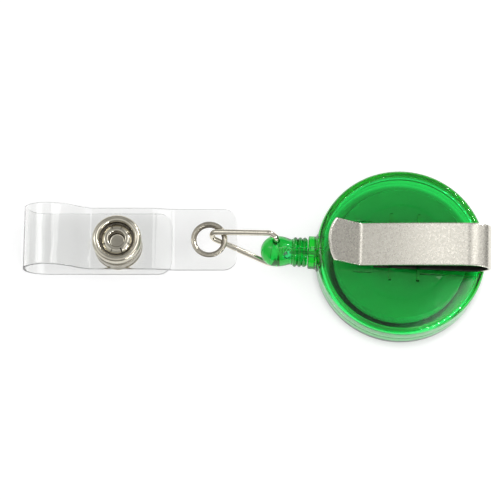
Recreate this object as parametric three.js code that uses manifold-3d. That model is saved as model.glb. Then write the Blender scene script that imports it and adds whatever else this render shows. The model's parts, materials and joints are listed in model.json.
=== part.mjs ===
// A retractable badge reel: a round case with a belt clip, a spring-driven spool and its cord,
// a ferrule with a wire hook, and a clear vinyl strap closed by a snap.
// Millimetres, +Z up. The origin is on the spool's axis, in the plane of the case's front face,
// which is underneath. The cord leaves the case along -X.

import * as THREE from 'three';
import { mergeVertices } from 'three/addons/utils/BufferGeometryUtils.js';
import Module from 'manifold-3d';

const wasm = await Module();
wasm.setup();

const { degToRad } = THREE.MathUtils;

// ---------------------------------------------------------------- driving dimensions

// case: a front and a back shell that meet in a stepped seam at half height
const CASE_R = 16;
const CASE_T = 8.3;
const EDGE_R = 1.2;
const WALL = 1.05;
const PLATE = 1.2;
const BACK_Z = 7.8;
const SEAM_Z = CASE_T / 2;
const SEAM_CHAMFER = 0.12;
const LAP_RISE = 0.8;
const LAP_GAP = 0.1;
const SEAT_GAP = 0.05;
const INNER_R = CASE_R - WALL;
const MID_WALL_R = CASE_R - WALL / 2;
const CIRCLE_R = 9.15;
const ENGRAVING = 0.12;
const CORD_Z = SEAM_Z;
const COLLAR_R = 3.15;
const COLLAR_REACH = 17.5;
const COLLAR_FLARE_R = 0.45;
const CORD_HOLE_R = 0.7;
const PIN_R = 1.5;
const PIN_TOP = 6.5;
const BEARING = { from: 1.75, to: 2.5, gap: 0.1 };

// belt clip: one strip of spring steel, seated a little off the case's centre line
const CLIP_Y = 0.7;
const CLIP_WIDTH = 8.2;
const STEEL = 0.5;
const CLIP_REACH = 16.6;
const CLIP_BEND = { reach: 3.6, rise: 2.2 };
const CLIP_LEG_END = -5.2;
const CREASE = new THREE.Vector2(-7.8, 8.95);
const TIP = new THREE.Vector2(-13.8, 12.98);
const TIP_CORNER_X = -12.57;

// what holds the clip on the back shell
const BRIDGES_X = [[-2.35, -1.8], [2.9, 3.45]];
const BRIDGE = { halfWidth: 6.45, top: 9, clearance: 0.2 };
const LEG_ROOM = CLIP_WIDTH / 2 + 0.2;
const GUIDE_RIB = { outside: 5, top: 8.3 };
const END_STOP = { fromX: -9, toX: -5.4, near: 2.6, far: 5.1, top: 8.1, width: 0.3 };

// spool, mainspring and wound cord
const SPOOL_R = 12.6;
const SPOOL_HOLE_R = 1.7;
const DRUM_R = 10;
const DRUM_WALL = 0.8;
const FLANGE = 0.5;
const SPOOL_LOW = 1.6;
const SPOOL_HIGH = 6.2;
const SPRING_TURNS = 8;
const SPRING_STEEL = 0.15;
const SPRING_LOW = 1.8;
const SPRING_HIGH = 4.6;
const CORD_R = 0.4;
const CORD_GAP = 0.05;
const WINDING_R = DRUM_R + CORD_GAP + 3 * 2 * CORD_R;

// ferrule: heights run along the cord from the end that meets the collar
const FERRULE_X = -17.7;
const RIB_PITCH = 0.9;
const RIB_COUNT = 3;
const RIB_R = 2.85;
const NECK_R = 2.5;
const BULB = { start: 3.4, middle: 5.9, tip: 8.8, r: 2.95, neckSide: 4.7 };
const POCKET = { from: 3, to: 4.9, r: 1 };
const WIRE_HOLE_R = 0.72;
const WIRE_HOLE_TILT = degToRad(27);
const KNOT_HOLE_TILT = degToRad(-30);
const KNOT_HOLE_R = 0.8;
const KNOT_R = 0.72;

// wire hook, in its own plane: x away from the ferrule, y along the ferrule's cross hole
const WIRE_R = 0.55;
const HOOK_BEND_R = 1.15;
const HOOK_UPPER_CORNER = new THREE.Vector2(1.25, 4.75);
const HOOK_LOWER_CORNER = new THREE.Vector2(1.3, -3.75);
const HOOK_END = 0.6;

// strap: a vinyl strip that lies turned by a small angle from the case's X axis.
// Everything on it is placed in the strap's own frame, before that turn.
const STRAP_TURN = degToRad(2.65);
const STRAP_Y = 3.3;
const STRAP_WIDTH = 12;
const VINYL = 0.5;
const STRAP_END_X = -30.95;
const FLAP_END_X = -43.45;
const FLAP_Z = 1.15;
const SNAP_LAYER_Z = 5.15;
const CROWN = new THREE.Vector2(-71.25, 4.9);
const CROWN_GAP = 0.1;
const END_CORNER_R = 2.6;
const FLAP_CORNER_R = 2.4;

// eyelet, the place in it that the hook's bend reaches, and the snap
const EYELET = new THREE.Vector3(-36.25, 3.3, 4.3);
const EYELET_R = 3.45;
const EYELET_HOLE_R = 2.35;
const HOOK_TIP = new THREE.Vector3(-35.7, 4.21, 4.2);
const SNAP = new THREE.Vector2(-53.76, 2.9);
const SNAP_R = 4.7;
const SNAP_WELL_R = 3.3;
const BARREL_HOLE_R = 2.15;
const POST_HOLE_R = 1.2;
const PETALS = 8;

// how finely round pieces are cut
const CASE_SEGMENTS = 48;
const ROUND_SEGMENTS = 20;
const SMALL_SEGMENTS = 12;
const FINEST_EDGE = 0.002;

// ---------------------------------------------------------------- helpers

// A closed three.js geometry as a manifold solid, without the zero-area faces on an axis
function solidOf(geometry) {
  const bare = geometry.clone();
  bare.deleteAttribute('normal');
  bare.deleteAttribute('uv');
  const merged = mergeVertices(bare, 1e-4);
  const corners = merged.index.array;
  const kept = [];
  for (let i = 0; i < corners.length; i += 3) {
    const [a, b, c] = corners.slice(i, i + 3);
    if (a !== b && b !== c && c !== a) {
      kept.push(a, b, c);
    }
  }
  return new wasm.Manifold(new wasm.Mesh({
    numProp: 3,
    vertProperties: merged.attributes.position.array,
    triVerts: new Uint32Array(kept),
  }));
}

// A manifold solid as three.js geometry, without the slivers that a cut leaves
function geometryOf(solid) {
  const mesh = solid.asOriginal().simplify(FINEST_EDGE).getMesh();
  const geometry = new THREE.BufferGeometry();
  geometry.setAttribute('position', new THREE.BufferAttribute(mesh.vertProperties, 3));
  geometry.setIndex(new THREE.BufferAttribute(mesh.triVerts, 1));
  geometry.computeVertexNormals();
  return geometry;
}

// An outline of [radius, height] pairs, anticlockwise, turned about Z
function turned(outline, segments) {
  const points = outline.map(([r, z]) => new THREE.Vector2(r, z));
  return solidOf(new THREE.LatheGeometry(points, segments).rotateX(Math.PI / 2));
}

// [radius, height] pairs along an arc, with its angles in degrees
function arc(r, z, radius, from, to, steps) {
  const points = [];
  for (let i = 0; i <= steps; i += 1) {
    const angle = degToRad(from + (to - from) * i / steps);
    points.push([r + radius * Math.cos(angle), z + radius * Math.sin(angle)]);
  }
  return points;
}

function box(low, high) {
  const size = high.map((value, i) => value - low[i]);
  const middle = high.map((value, i) => (value + low[i]) / 2);
  return solidOf(new THREE.BoxGeometry(...size).translate(...middle));
}

// A cylinder from one Vector3 to another
function rod(start, end, radius, segments = SMALL_SEGMENTS) {
  const along = end.clone().sub(start);
  const geometry = new THREE.CylinderGeometry(radius, radius, along.length(), segments);
  const up = new THREE.Vector3(0, 1, 0);
  const turn = new THREE.Quaternion().setFromUnitVectors(up, along.clone().normalize());
  const middle = start.clone().lerp(end, 0.5);
  return solidOf(geometry.applyQuaternion(turn).translate(...middle.toArray()));
}

// The outline of a strip of even thickness along a centre line of Vector2 points
function stripShape(line, thickness) {
  const left = [];
  const right = [];
  line.forEach((point, i) => {
    const before = line[Math.max(i - 1, 0)];
    const after = line[Math.min(i + 1, line.length - 1)];
    const along = after.clone().sub(before).normalize();
    const across = new THREE.Vector2(-along.y, along.x).multiplyScalar(thickness / 2);
    left.push(point.clone().add(across));
    right.push(point.clone().sub(across));
  });
  return new THREE.Shape([...right, ...left.reverse()]);
}

// A strip bent in the XZ plane, as wide as width along Y about y = middle
function bentStrip(line, thickness, width, middle) {
  const shape = stripShape(line, thickness);
  const geometry = new THREE.ExtrudeGeometry(shape, { depth: width, bevelEnabled: false });
  return solidOf(geometry.rotateX(Math.PI / 2).translate(0, middle + width / 2, 0));
}

// A plan outline raised from one height to another
function raised(shape, low, high) {
  const settings = { depth: high - low, bevelEnabled: false, curveSegments: 8 };
  return solidOf(new THREE.ExtrudeGeometry(shape, settings).translate(0, 0, low));
}

function piece(name, geometry, color, roughness, metalness = 0) {
  const material = new THREE.MeshStandardMaterial({ color, roughness, metalness });
  const mesh = new THREE.Mesh(geometry, material);
  mesh.name = name;
  return mesh;
}

// ---------------------------------------------------------------- colours

const GREEN = 0x1ea03c;
const WHITE_PLASTIC = 0xe9ece6;
const SPRING_STRIP = 0x6f6d69;
const SATIN_STEEL = 0xbdb8ae;
const NICKEL = 0xb5ae9d;
const CORD_WHITE = 0xf0f0ec;
const CLEAR_VINYL = 0xebebeb;

// ---------------------------------------------------------------- case

// The collar around the cord's way out, flared into the wall, cut at the seam into halves
function collarHalf(upper) {
  const bevel = 0.15;
  const flareR = COLLAR_R + COLLAR_FLARE_R;
  const outline = [
    [0, INNER_R],
    [flareR, INNER_R],
    ...arc(flareR, CASE_R + 0.3, COLLAR_FLARE_R, 270, 180, 3),
    [COLLAR_R, COLLAR_REACH - bevel],
    [COLLAR_R - bevel, COLLAR_REACH],
    [0, COLLAR_REACH],
  ];
  const collar = turned(outline, ROUND_SEGMENTS).rotate([0, -90, 0]).translate([0, 0, CORD_Z]);
  const far = COLLAR_REACH + 1;
  const half = upper
    ? box([-far, -flareR, SEAM_Z + SEAT_GAP], [0, flareR, CASE_T])
    : box([-far, -flareR, 0], [0, flareR, SEAM_Z]);
  const inside = [[0, -1], [MID_WALL_R, -1], [MID_WALL_R, CASE_T + 1], [0, CASE_T + 1]];
  return collar.intersect(half).subtract(turned(inside, CASE_SEGMENTS));
}

function cordHole() {
  const from = new THREE.Vector3(1 - INNER_R, 0, CORD_Z);
  const to = new THREE.Vector3(-1 - COLLAR_REACH, 0, CORD_Z);
  return rod(from, to, CORD_HOLE_R);
}

function frontCover() {
  const lapR = MID_WALL_R - LAP_GAP / 2;
  const outline = [
    [0, 0],
    ...arc(CASE_R - EDGE_R, EDGE_R, EDGE_R, -90, 0, 4),
    [CASE_R, SEAM_Z - SEAM_CHAMFER],
    [CASE_R - SEAM_CHAMFER, SEAM_Z],
    [lapR, SEAM_Z],
    [lapR, SEAM_Z + LAP_RISE],
    [INNER_R, SEAM_Z + LAP_RISE],
    [INNER_R, PLATE],
    [PIN_R, PLATE],
    [PIN_R, PIN_TOP],
    [0, PIN_TOP],
  ];
  const springSlot = box([-PIN_R - 1, -0.3, SPRING_LOW - 0.1], [PIN_R + 1, 0.3, PIN_TOP + 1]);
  return turned(outline, CASE_SEGMENTS)
    .add(collarHalf(false))
    .subtract(cordHole())
    .subtract(springSlot);
}

// The shell's own turned body, with the recessed back, its rim and its engraved circle
function backShell() {
  const under = BACK_Z - PLATE;
  const lapR = MID_WALL_R + LAP_GAP / 2;
  const lapZ = SEAM_Z + LAP_RISE + LAP_GAP;
  const filletR = 0.45;
  return turned([
    [0, under],
    [BEARING.from, under],
    [BEARING.from, SPOOL_HIGH + BEARING.gap],
    [BEARING.to, SPOOL_HIGH + BEARING.gap],
    [BEARING.to, under],
    [INNER_R, under],
    [INNER_R, lapZ],
    [lapR, lapZ],
    [lapR, SEAM_Z + SEAT_GAP],
    [CASE_R - SEAM_CHAMFER, SEAM_Z + SEAT_GAP],
    [CASE_R, SEAM_Z + SEAT_GAP + SEAM_CHAMFER],
    ...arc(CASE_R - EDGE_R, CASE_T - EDGE_R, EDGE_R, 0, 90, 4),
    [INNER_R + 0.05, CASE_T],
    ...arc(INNER_R - filletR, BACK_Z + filletR, filletR, 0, -90, 2),
    [CIRCLE_R + ENGRAVING, BACK_Z],
    [CIRCLE_R, BACK_Z - ENGRAVING],
    [CIRCLE_R - ENGRAVING, BACK_Z],
    [0, BACK_Z],
  ], CASE_SEGMENTS);
}

// A block on the back, let a little into the plate; fromY and toY count from the clip's middle
function backRib(fromX, toX, fromY, toY, top) {
  return box([fromX, CLIP_Y + fromY, BACK_Z - 0.1], [toX, CLIP_Y + toY, top]);
}

// A narrow bridge that the clip's leg runs under
function legBridge([fromX, toX]) {
  const { halfWidth, top, clearance } = BRIDGE;
  const tunnel = box(
    [fromX - 1, CLIP_Y - LEG_ROOM, BACK_Z],
    [toX + 1, CLIP_Y + LEG_ROOM, BACK_Z + STEEL + clearance]);
  return backRib(fromX, toX, -halfWidth, halfWidth, top).subtract(tunnel);
}

// The two bridges, the ribs that guide the clip's leg, and its end stops
function clipSeat() {
  const stop = END_STOP;
  const guideFrom = BRIDGES_X[1][1] - 0.3;
  let seat = legBridge(BRIDGES_X[0]).add(legBridge(BRIDGES_X[1]));
  for (const side of [-1, 1]) {
    const across = (near, far) => [side * near, side * far].sort((a, b) => a - b);
    const guide = across(LEG_ROOM + 0.1, GUIDE_RIB.outside);
    const beside = across(stop.far - stop.width, stop.far);
    const end = across(stop.near, stop.far - 0.1);
    seat = seat
      .add(backRib(guideFrom, INNER_R - 0.4, ...guide, GUIDE_RIB.top))
      .add(backRib(stop.fromX, stop.toX - 0.2, ...beside, stop.top))
      .add(backRib(stop.toX - stop.width, stop.toX, ...end, stop.top - 0.05));
  }
  return seat;
}

function backCover() {
  const notch = box(
    [INNER_R - 1, CLIP_Y - LEG_ROOM, BACK_Z],
    [CASE_R + 1, CLIP_Y + LEG_ROOM, CASE_T + 1]);
  return backShell()
    .subtract(notch)
    .add(clipSeat())
    .add(collarHalf(true))
    .subtract(cordHole());
}

// ---------------------------------------------------------------- belt clip

// The strip's centre line in [x, z], from the leg's end round the bend to the tip. The bend is
// half an ellipse, and the leaf is its tangent from the crease, found where x is scaled to make
// the ellipse a circle. The strip is parted where the bend reaches furthest out, because the
// leaf flexes from there.
function clipLines() {
  const legZ = BACK_Z + SEAT_GAP + STEEL / 2;
  const { reach, rise } = CLIP_BEND;
  const bend = new THREE.Vector2(CLIP_REACH - STEEL / 2 - reach, legZ + rise);
  const toBend = bend.clone().sub(CREASE);
  const scaled = new THREE.Vector2(toBend.x * rise / reach, toBend.y);
  const scaledSlope = scaled.angle() + Math.asin(rise / scaled.length());
  const leafWay = new THREE.Vector2(
    Math.cos(scaledSlope) * reach / rise, Math.sin(scaledSlope)).normalize();
  const tipWay = TIP.clone().sub(CREASE).normalize();
  const parting = 0.05;
  const creaseR = 0.7;
  const leg = new THREE.Path();
  leg.moveTo(CLIP_LEG_END, legZ);
  leg.lineTo(bend.x, legZ);
  leg.absellipse(bend.x, bend.y, reach, rise, -Math.PI / 2, -parting / rise, false);
  const leaf = new THREE.Path();
  leaf.absellipse(bend.x, bend.y, reach, rise, parting / rise, Math.PI / 2 + scaledSlope, false);
  const beforeCrease = CREASE.clone().addScaledVector(leafWay, creaseR);
  const afterCrease = CREASE.clone().addScaledVector(tipWay, creaseR);
  leaf.lineTo(beforeCrease.x, beforeCrease.y);
  leaf.quadraticCurveTo(CREASE.x, CREASE.y, afterCrease.x, afterCrease.y);
  leaf.lineTo(TIP.x, TIP.y);
  return { leg: leg.getPoints(5), leaf: leaf.getPoints(5) };
}

// The leaf's plan: straight sides and a tip rounded by one arc
function leafPlan() {
  const half = CLIP_WIDTH / 2;
  const rise = TIP_CORNER_X - TIP.x;
  const radius = (half * half + rise * rise) / (2 * rise);
  const spread = Math.asin(half / radius);
  const beyond = CLIP_REACH + 1;
  const plan = new THREE.Shape();
  plan.moveTo(beyond, CLIP_Y - half);
  plan.lineTo(beyond, CLIP_Y + half);
  plan.lineTo(TIP_CORNER_X, CLIP_Y + half);
  plan.absarc(TIP.x + radius, CLIP_Y, radius, Math.PI - spread, Math.PI + spread, false);
  return raised(plan, BACK_Z, TIP.y + 1);
}

function clipBase() {
  return bentStrip(clipLines().leg, STEEL, CLIP_WIDTH, CLIP_Y);
}

function clipLeaf() {
  return bentStrip(clipLines().leaf, STEEL, CLIP_WIDTH, CLIP_Y).intersect(leafPlan());
}

// ---------------------------------------------------------------- spool, spring and cord

function spool() {
  const drumIn = DRUM_R - DRUM_WALL;
  const web = SPOOL_HIGH - FLANGE;
  const hub = { r: 2.4, low: 4.8 };
  return turned([
    [SPOOL_HOLE_R, hub.low],
    [hub.r, hub.low],
    [hub.r, web],
    [drumIn, web],
    [drumIn, SPOOL_LOW],
    [SPOOL_R, SPOOL_LOW],
    [SPOOL_R, SPOOL_LOW + FLANGE],
    [DRUM_R, SPOOL_LOW + FLANGE],
    [DRUM_R, web],
    [SPOOL_R, web],
    [SPOOL_R, SPOOL_HIGH],
    [SPOOL_HOLE_R, SPOOL_HIGH],
    [SPOOL_HOLE_R, hub.low],
  ], CASE_SEGMENTS);
}

// A flat spiral from its tongue in the pin's slot out to the drum
function mainspring() {
  const outer = DRUM_R - DRUM_WALL - 0.3;
  const inner = 2.15;
  const stepsPerTurn = 14;
  const line = [[-1.1, 0], [1.45, 0], [1.8, 0.14], [2.02, 0.42]];
  const points = line.map(([x, y]) => new THREE.Vector2(x, y));
  const steps = SPRING_TURNS * stepsPerTurn;
  for (let i = 1; i <= steps; i += 1) {
    const part = i / steps;
    const r = inner + (outer - inner) * (1.64 * part - 0.64 * part * part);
    const angle = 0.1 + 2 * Math.PI * i / stepsPerTurn;
    points.push(new THREE.Vector2(r * Math.cos(angle), r * Math.sin(angle)));
  }
  return raised(stripShape(points, SPRING_STEEL), SPRING_LOW, SPRING_HIGH);
}

function cordWinding() {
  const low = SPOOL_LOW + FLANGE + CORD_GAP;
  const high = SPOOL_HIGH - FLANGE - CORD_GAP;
  const inner = DRUM_R + CORD_GAP;
  const outline = [[inner, low], [WINDING_R, low], [WINDING_R, high], [inner, high], [inner, low]];
  return turned(outline, CASE_SEGMENTS);
}

function cordLead() {
  const section = new THREE.Shape().absarc(0, 0, CORD_R, 0, 2 * Math.PI, false);
  const start = new THREE.Vector3(-WINDING_R - CORD_R, 0, CORD_Z);
  const end = new THREE.Vector3(FERRULE_X - POCKET.from - 0.35, 0, CORD_Z);
  const settings = {
    steps: 4,
    curveSegments: 4,
    extrudePath: new THREE.LineCurve3(start, end),
  };
  return new THREE.ExtrudeGeometry(section, settings);
}

// ---------------------------------------------------------------- ferrule and hook

// Heights are measured along the cord, and the turned body's x is the model's up
function ferrule() {
  const outline = [[CORD_HOLE_R, 0]];
  for (let i = 0; i < RIB_COUNT; i += 1) {
    const at = i * RIB_PITCH;
    outline.push([NECK_R, at + 0.02], [RIB_R - 0.05, at + 0.2]);
    outline.push([RIB_R, at + 0.45], [RIB_R - 0.05, at + 0.7]);
  }
  outline.push([NECK_R, RIB_COUNT * RIB_PITCH]);
  const steps = 9;
  for (let i = 0; i <= steps; i += 1) {
    const along = BULB.start + (BULB.tip - BULB.start) * Math.sin(i / steps * Math.PI / 2);
    const reach = along < BULB.middle ? BULB.neckSide : BULB.tip - BULB.middle;
    const part = (along - BULB.middle) / reach;
    outline.push([BULB.r * Math.sqrt(Math.max(1 - part * part, 0)), along]);
  }
  outline.push([0, POCKET.to], [POCKET.r, POCKET.to], [POCKET.r, POCKET.from]);
  outline.push([CORD_HOLE_R, POCKET.from], [CORD_HOLE_R, 0]);
  const outside = BULB.r + 1;
  const wireHole = rod(
    radial(WIRE_HOLE_TILT, BULB.middle, -outside),
    radial(WIRE_HOLE_TILT, BULB.middle, outside),
    WIRE_HOLE_R);
  const knotAt = BULB.start + 0.3;
  const knotHole = rod(
    radial(KNOT_HOLE_TILT, knotAt, 0),
    radial(KNOT_HOLE_TILT, knotAt, outside),
    KNOT_HOLE_R);
  return turned(outline, ROUND_SEGMENTS).subtract(wireHole).subtract(knotHole);
}

// A point at a reach from the ferrule's axis, tilted from the model's up towards its +Y
function radial(tilt, along, reach) {
  return new THREE.Vector3(Math.cos(tilt) * reach, Math.sin(tilt) * reach, along);
}

// The bulb's middle, the cross hole's direction, and the plane that holds the hook
function hookFrame() {
  const origin = new THREE.Vector3(FERRULE_X - BULB.middle, 0, CORD_Z);
  const across = new THREE.Vector3(0, Math.sin(WIRE_HOLE_TILT), Math.cos(WIRE_HOLE_TILT));
  const tip = HOOK_TIP.clone().applyAxisAngle(new THREE.Vector3(0, 0, 1), STRAP_TURN);
  const toTip = tip.sub(origin);
  const tipAcross = toTip.dot(across);
  const outward = toTip.clone().addScaledVector(across, -tipAcross);
  const tipOut = outward.length();
  outward.normalize();
  const normal = outward.clone().cross(across);
  const turn = new THREE.Matrix4().makeBasis(outward, across, normal);
  return { origin, turn, tip: new THREE.Vector2(tipOut, tipAcross) };
}

// From one wire end, up over the bulb, out to the bend in the eyelet, and back below
function hookLine(tip) {
  const bend = new THREE.Vector2(tip.x - HOOK_BEND_R, tip.y);
  const legAngle = (corner, side) => {
    const toBend = bend.clone().sub(corner);
    return toBend.angle() + side * Math.asin(HOOK_BEND_R / toBend.length());
  };
  const upperAngle = legAngle(HOOK_UPPER_CORNER, 1) - 2 * Math.PI;
  const lowerAngle = legAngle(HOOK_LOWER_CORNER, -1);
  const touch = (angle) => new THREE.Vector2(
    bend.x + HOOK_BEND_R * Math.cos(angle), bend.y + HOOK_BEND_R * Math.sin(angle));
  const corners = [
    new THREE.Vector2(0, HOOK_END),
    new THREE.Vector2(0, 3.85),
    HOOK_UPPER_CORNER,
    touch(upperAngle + Math.PI / 2),
  ];
  const path = new THREE.CurvePath();
  const straight = (a, b) => path.add(new THREE.LineCurve3(flat(a), flat(b)));
  const rounded = (a, corner, b) => path.add(
    new THREE.QuadraticBezierCurve3(flat(a), flat(corner), flat(b)));
  const run = (points) => {
    let from = points[0];
    for (let i = 1; i < points.length - 1; i += 1) {
      const corner = points[i];
      const cut = 0.42;
      const before = corner.clone().add(from.clone().sub(corner).setLength(cut));
      const after = corner.clone().add(points[i + 1].clone().sub(corner).setLength(cut));
      straight(from, before);
      rounded(before, corner, after);
      from = after;
    }
    straight(from, points[points.length - 1]);
  };
  run(corners);
  const bendSteps = 10;
  let last = corners[corners.length - 1];
  for (let i = 1; i <= bendSteps; i += 1) {
    const start = upperAngle + Math.PI / 2;
    const end = lowerAngle - Math.PI / 2;
    const next = touch(start + (end - start) * i / bendSteps);
    straight(last, next);
    last = next;
  }
  run([last, HOOK_LOWER_CORNER, new THREE.Vector2(0, -3.6), new THREE.Vector2(0, -HOOK_END)]);
  return path;
}

function flat(point) {
  return new THREE.Vector3(point.x, point.y, 0);
}

function hookWire(tip) {
  const section = new THREE.Shape().absarc(0, 0, WIRE_R, 0, 2 * Math.PI, false);
  const settings = { steps: 48, curveSegments: 4, extrudePath: hookLine(tip) };
  return new THREE.ExtrudeGeometry(section, settings);
}

// ---------------------------------------------------------------- eyelet

// Heights count from the middle of the vinyl
function eyeletBarrel() {
  const hole = EYELET_HOLE_R;
  return turned([
    [hole, -0.45],
    [hole + 0.1, -0.6],
    [hole + 0.35, -0.6],
    [hole + 0.4, -0.45],
    [hole + 0.25, -0.33],
    [hole + 0.25, 0.3],
    [EYELET_R - 0.1, 0.3],
    [EYELET_R, 0.38],
    [EYELET_R - 0.15, 0.52],
    [EYELET_R - 0.5, 0.62],
    [hole + 0.2, 0.55],
    [hole, 0.35],
    [hole, -0.45],
  ], ROUND_SEGMENTS);
}

function eyeletWasher() {
  return turned([
    [EYELET_HOLE_R + 0.5, -0.45],
    [EYELET_HOLE_R + 0.62, -0.58],
    [EYELET_R - 0.15, -0.52],
    [EYELET_R, -0.4],
    [EYELET_R - 0.05, -0.3],
    [EYELET_HOLE_R + 0.5, -0.3],
    [EYELET_HOLE_R + 0.5, -0.45],
  ], ROUND_SEGMENTS);
}

// ---------------------------------------------------------------- strap

// Heights below and above the whole strap, for what cuts it
const UNDER_STRAP = -1;
const OVER_STRAP = 11;

// A plan of the strap's width that ends at endX with rounded corners
function strapPlan(endX, cornerR) {
  const low = STRAP_Y - STRAP_WIDTH / 2;
  const high = STRAP_Y + STRAP_WIDTH / 2;
  const beyond = CROWN.x - 2;
  const plan = new THREE.Shape();
  plan.moveTo(beyond, low);
  plan.lineTo(endX - cornerR, low);
  plan.absarc(endX - cornerR, low + cornerR, cornerR, -Math.PI / 2, 0, false);
  plan.absarc(endX - cornerR, high - cornerR, cornerR, 0, Math.PI / 2, false);
  plan.lineTo(beyond, high);
  return raised(plan, UNDER_STRAP, OVER_STRAP);
}

function vinylStrip(points, endX, cornerR) {
  return bentStrip(points, VINYL, STRAP_WIDTH, STRAP_Y).intersect(strapPlan(endX, cornerR));
}

function vinylHole(x, y, radius) {
  const low = new THREE.Vector3(x, y, UNDER_STRAP);
  const high = new THREE.Vector3(x, y, OVER_STRAP);
  return rod(low, high, radius, ROUND_SEGMENTS);
}

// From the eyelet's end over the snap, and up into the badge loop as far as its crown
function strapUpper() {
  const line = new THREE.Path();
  line.moveTo(STRAP_END_X + 1, EYELET.z);
  line.lineTo(-42.5, EYELET.z);
  line.bezierCurveTo(-44.5, EYELET.z, -45.5, SNAP_LAYER_Z, -47.5, SNAP_LAYER_Z);
  line.lineTo(-58.8, SNAP_LAYER_Z);
  line.splineThru([
    new THREE.Vector2(-60.5, 5.95),
    new THREE.Vector2(-62.6, 7.6),
    new THREE.Vector2(-64.9, 8.8),
    new THREE.Vector2(-67.4, 9.15),
    new THREE.Vector2(-69.6, 8.25),
    new THREE.Vector2(-70.9, 6.7),
    new THREE.Vector2(CROWN.x, CROWN.y + CROWN_GAP / 2),
  ]);
  return vinylStrip(line.getPoints(4), STRAP_END_X, END_CORNER_R)
    .subtract(vinylHole(EYELET.x, EYELET.y, EYELET_HOLE_R + 0.45))
    .subtract(vinylHole(SNAP.x, SNAP.y, BARREL_HOLE_R));
}

// From the crown down to the flap that lies under the snap
function strapFlap() {
  const line = new THREE.Path();
  line.moveTo(CROWN.x, CROWN.y - CROWN_GAP / 2);
  line.splineThru([
    new THREE.Vector2(-70.9, 3.2),
    new THREE.Vector2(-69.6, 1.8),
    new THREE.Vector2(-67.4, 1.2),
    new THREE.Vector2(-65.5, FLAP_Z),
  ]);
  line.lineTo(FLAP_END_X + 1, FLAP_Z);
  return vinylStrip(line.getPoints(4), FLAP_END_X, FLAP_CORNER_R)
    .subtract(vinylHole(SNAP.x, SNAP.y, POST_HOLE_R));
}

// ---------------------------------------------------------------- snap

// Top ring: a cup washer on the upper layer
function snapRing() {
  const bed = SNAP_LAYER_Z + VINYL / 2 + SEAT_GAP;
  return turned([
    [BARREL_HOLE_R, bed],
    [SNAP_R - 0.25, bed],
    [SNAP_R, bed + 0.25],
    [SNAP_R, bed + 0.7],
    [SNAP_R - 0.15, bed + 1.05],
    [SNAP_R - 0.45, bed + 1.2],
    ...arc(SNAP_R - 0.95, bed + 1.1, 0.4, 45, 150, 4),
    [SNAP_WELL_R, bed + 1],
    [SNAP_WELL_R, bed + 0.4],
    [BARREL_HOLE_R, bed + 0.4],
    [BARREL_HOLE_R, bed],
  ], ROUND_SEGMENTS);
}

// Stud: its knob points down into the socket, and its barrel is flared above in petals
function snapStud() {
  const under = SNAP_LAYER_Z - VINYL / 2 - SEAT_GAP;
  const knob = [[0, 2.4], [1.2, 2.4], [1.7, 2.6], [1.9, 3], [1.75, 3.5], [1.65, 3.9], [1.7, 4.2]];
  const flange = [[4.1, 4.2], [4.25, 4.35], [4.25, under - 0.15], [4.1, under]];
  const flare = [[1.95, under], [1.95, 6.05], [2.4, 6.1], [2.8, 6.05], [2.75, 6.2], [2.35, 6.45]];
  const hole = [[2, 6.58], [1.65, 6.5], [1.5, 6.2], [1.5, 4.75], [1.2, 4.5], [0, 4.5]];
  let stud = turned([...knob, ...flange, ...flare, ...hole], ROUND_SEGMENTS);
  for (let i = 0; i < PETALS; i += 1) {
    const slit = box([2.25, -0.1, 5.9], [3, 0.1, 7]).rotate([0, 0, (i + 0.5) * 360 / PETALS]);
    stud = stud.subtract(slit);
  }
  return stud;
}

// Socket: on the flap, with a groove for its spring ring
function snapSocket() {
  const bed = FLAP_Z + VINYL / 2 + SEAT_GAP;
  return turned([
    [1.15, bed],
    [4, bed],
    [4.5, bed + 0.2],
    [4.6, bed + 0.6],
    [4.6, 3.3],
    [4.3, 3.75],
    [3.4, 3.9],
    [2.45, 3.8],
    [2.3, 3.55],
    [2.3, 3.3],
    [3.1, 3.15],
    [3.1, 2.4],
    [2.3, 2.3],
    [2.3, bed + 0.45],
    [1.15, bed + 0.45],
    [1.15, bed],
  ], ROUND_SEGMENTS);
}

function snapSpring() {
  const wire = 0.25;
  return new THREE.TorusGeometry(2.68, wire, 8, 24).translate(0, 0, 2.8);
}

// Cap: a shallow dome below the flap, with a post riveted over inside the socket
function snapCap() {
  const under = FLAP_Z - VINYL / 2 - SEAT_GAP;
  return turned([
    [0, 0],
    [3.3, 0],
    [4.2, 0.2],
    [4.6, 0.45],
    [SNAP_R, 0.7],
    [SNAP_R - 0.1, under],
    [0.95, under],
    [0.95, 1.95],
    [1.4, 2],
    [1.4, 2.15],
    [0.95, 2.25],
    [0.6, 2.25],
    [0.6, 1.3],
    [0, 1.3],
  ], ROUND_SEGMENTS);
}

// ---------------------------------------------------------------- assembly

function caseGroup() {
  const group = new THREE.Group();
  group.add(
    piece('front_cover', geometryOf(frontCover()), GREEN, 0.15),
    piece('back_cover', geometryOf(backCover()), GREEN, 0.15),
    piece('belt_clip_base', geometryOf(clipBase()), SATIN_STEEL, 0.4, 1),
    piece('belt_clip_leaf', geometryOf(clipLeaf()), SATIN_STEEL, 0.4, 1),
    piece('spool', geometryOf(spool()), WHITE_PLASTIC, 0.5),
    piece('mainspring', geometryOf(mainspring()), SPRING_STRIP, 0.35, 1),
    piece('cord_winding', geometryOf(cordWinding()), CORD_WHITE, 0.8),
    piece('cord_lead', cordLead(), CORD_WHITE, 0.8),
  );
  return group;
}

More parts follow.
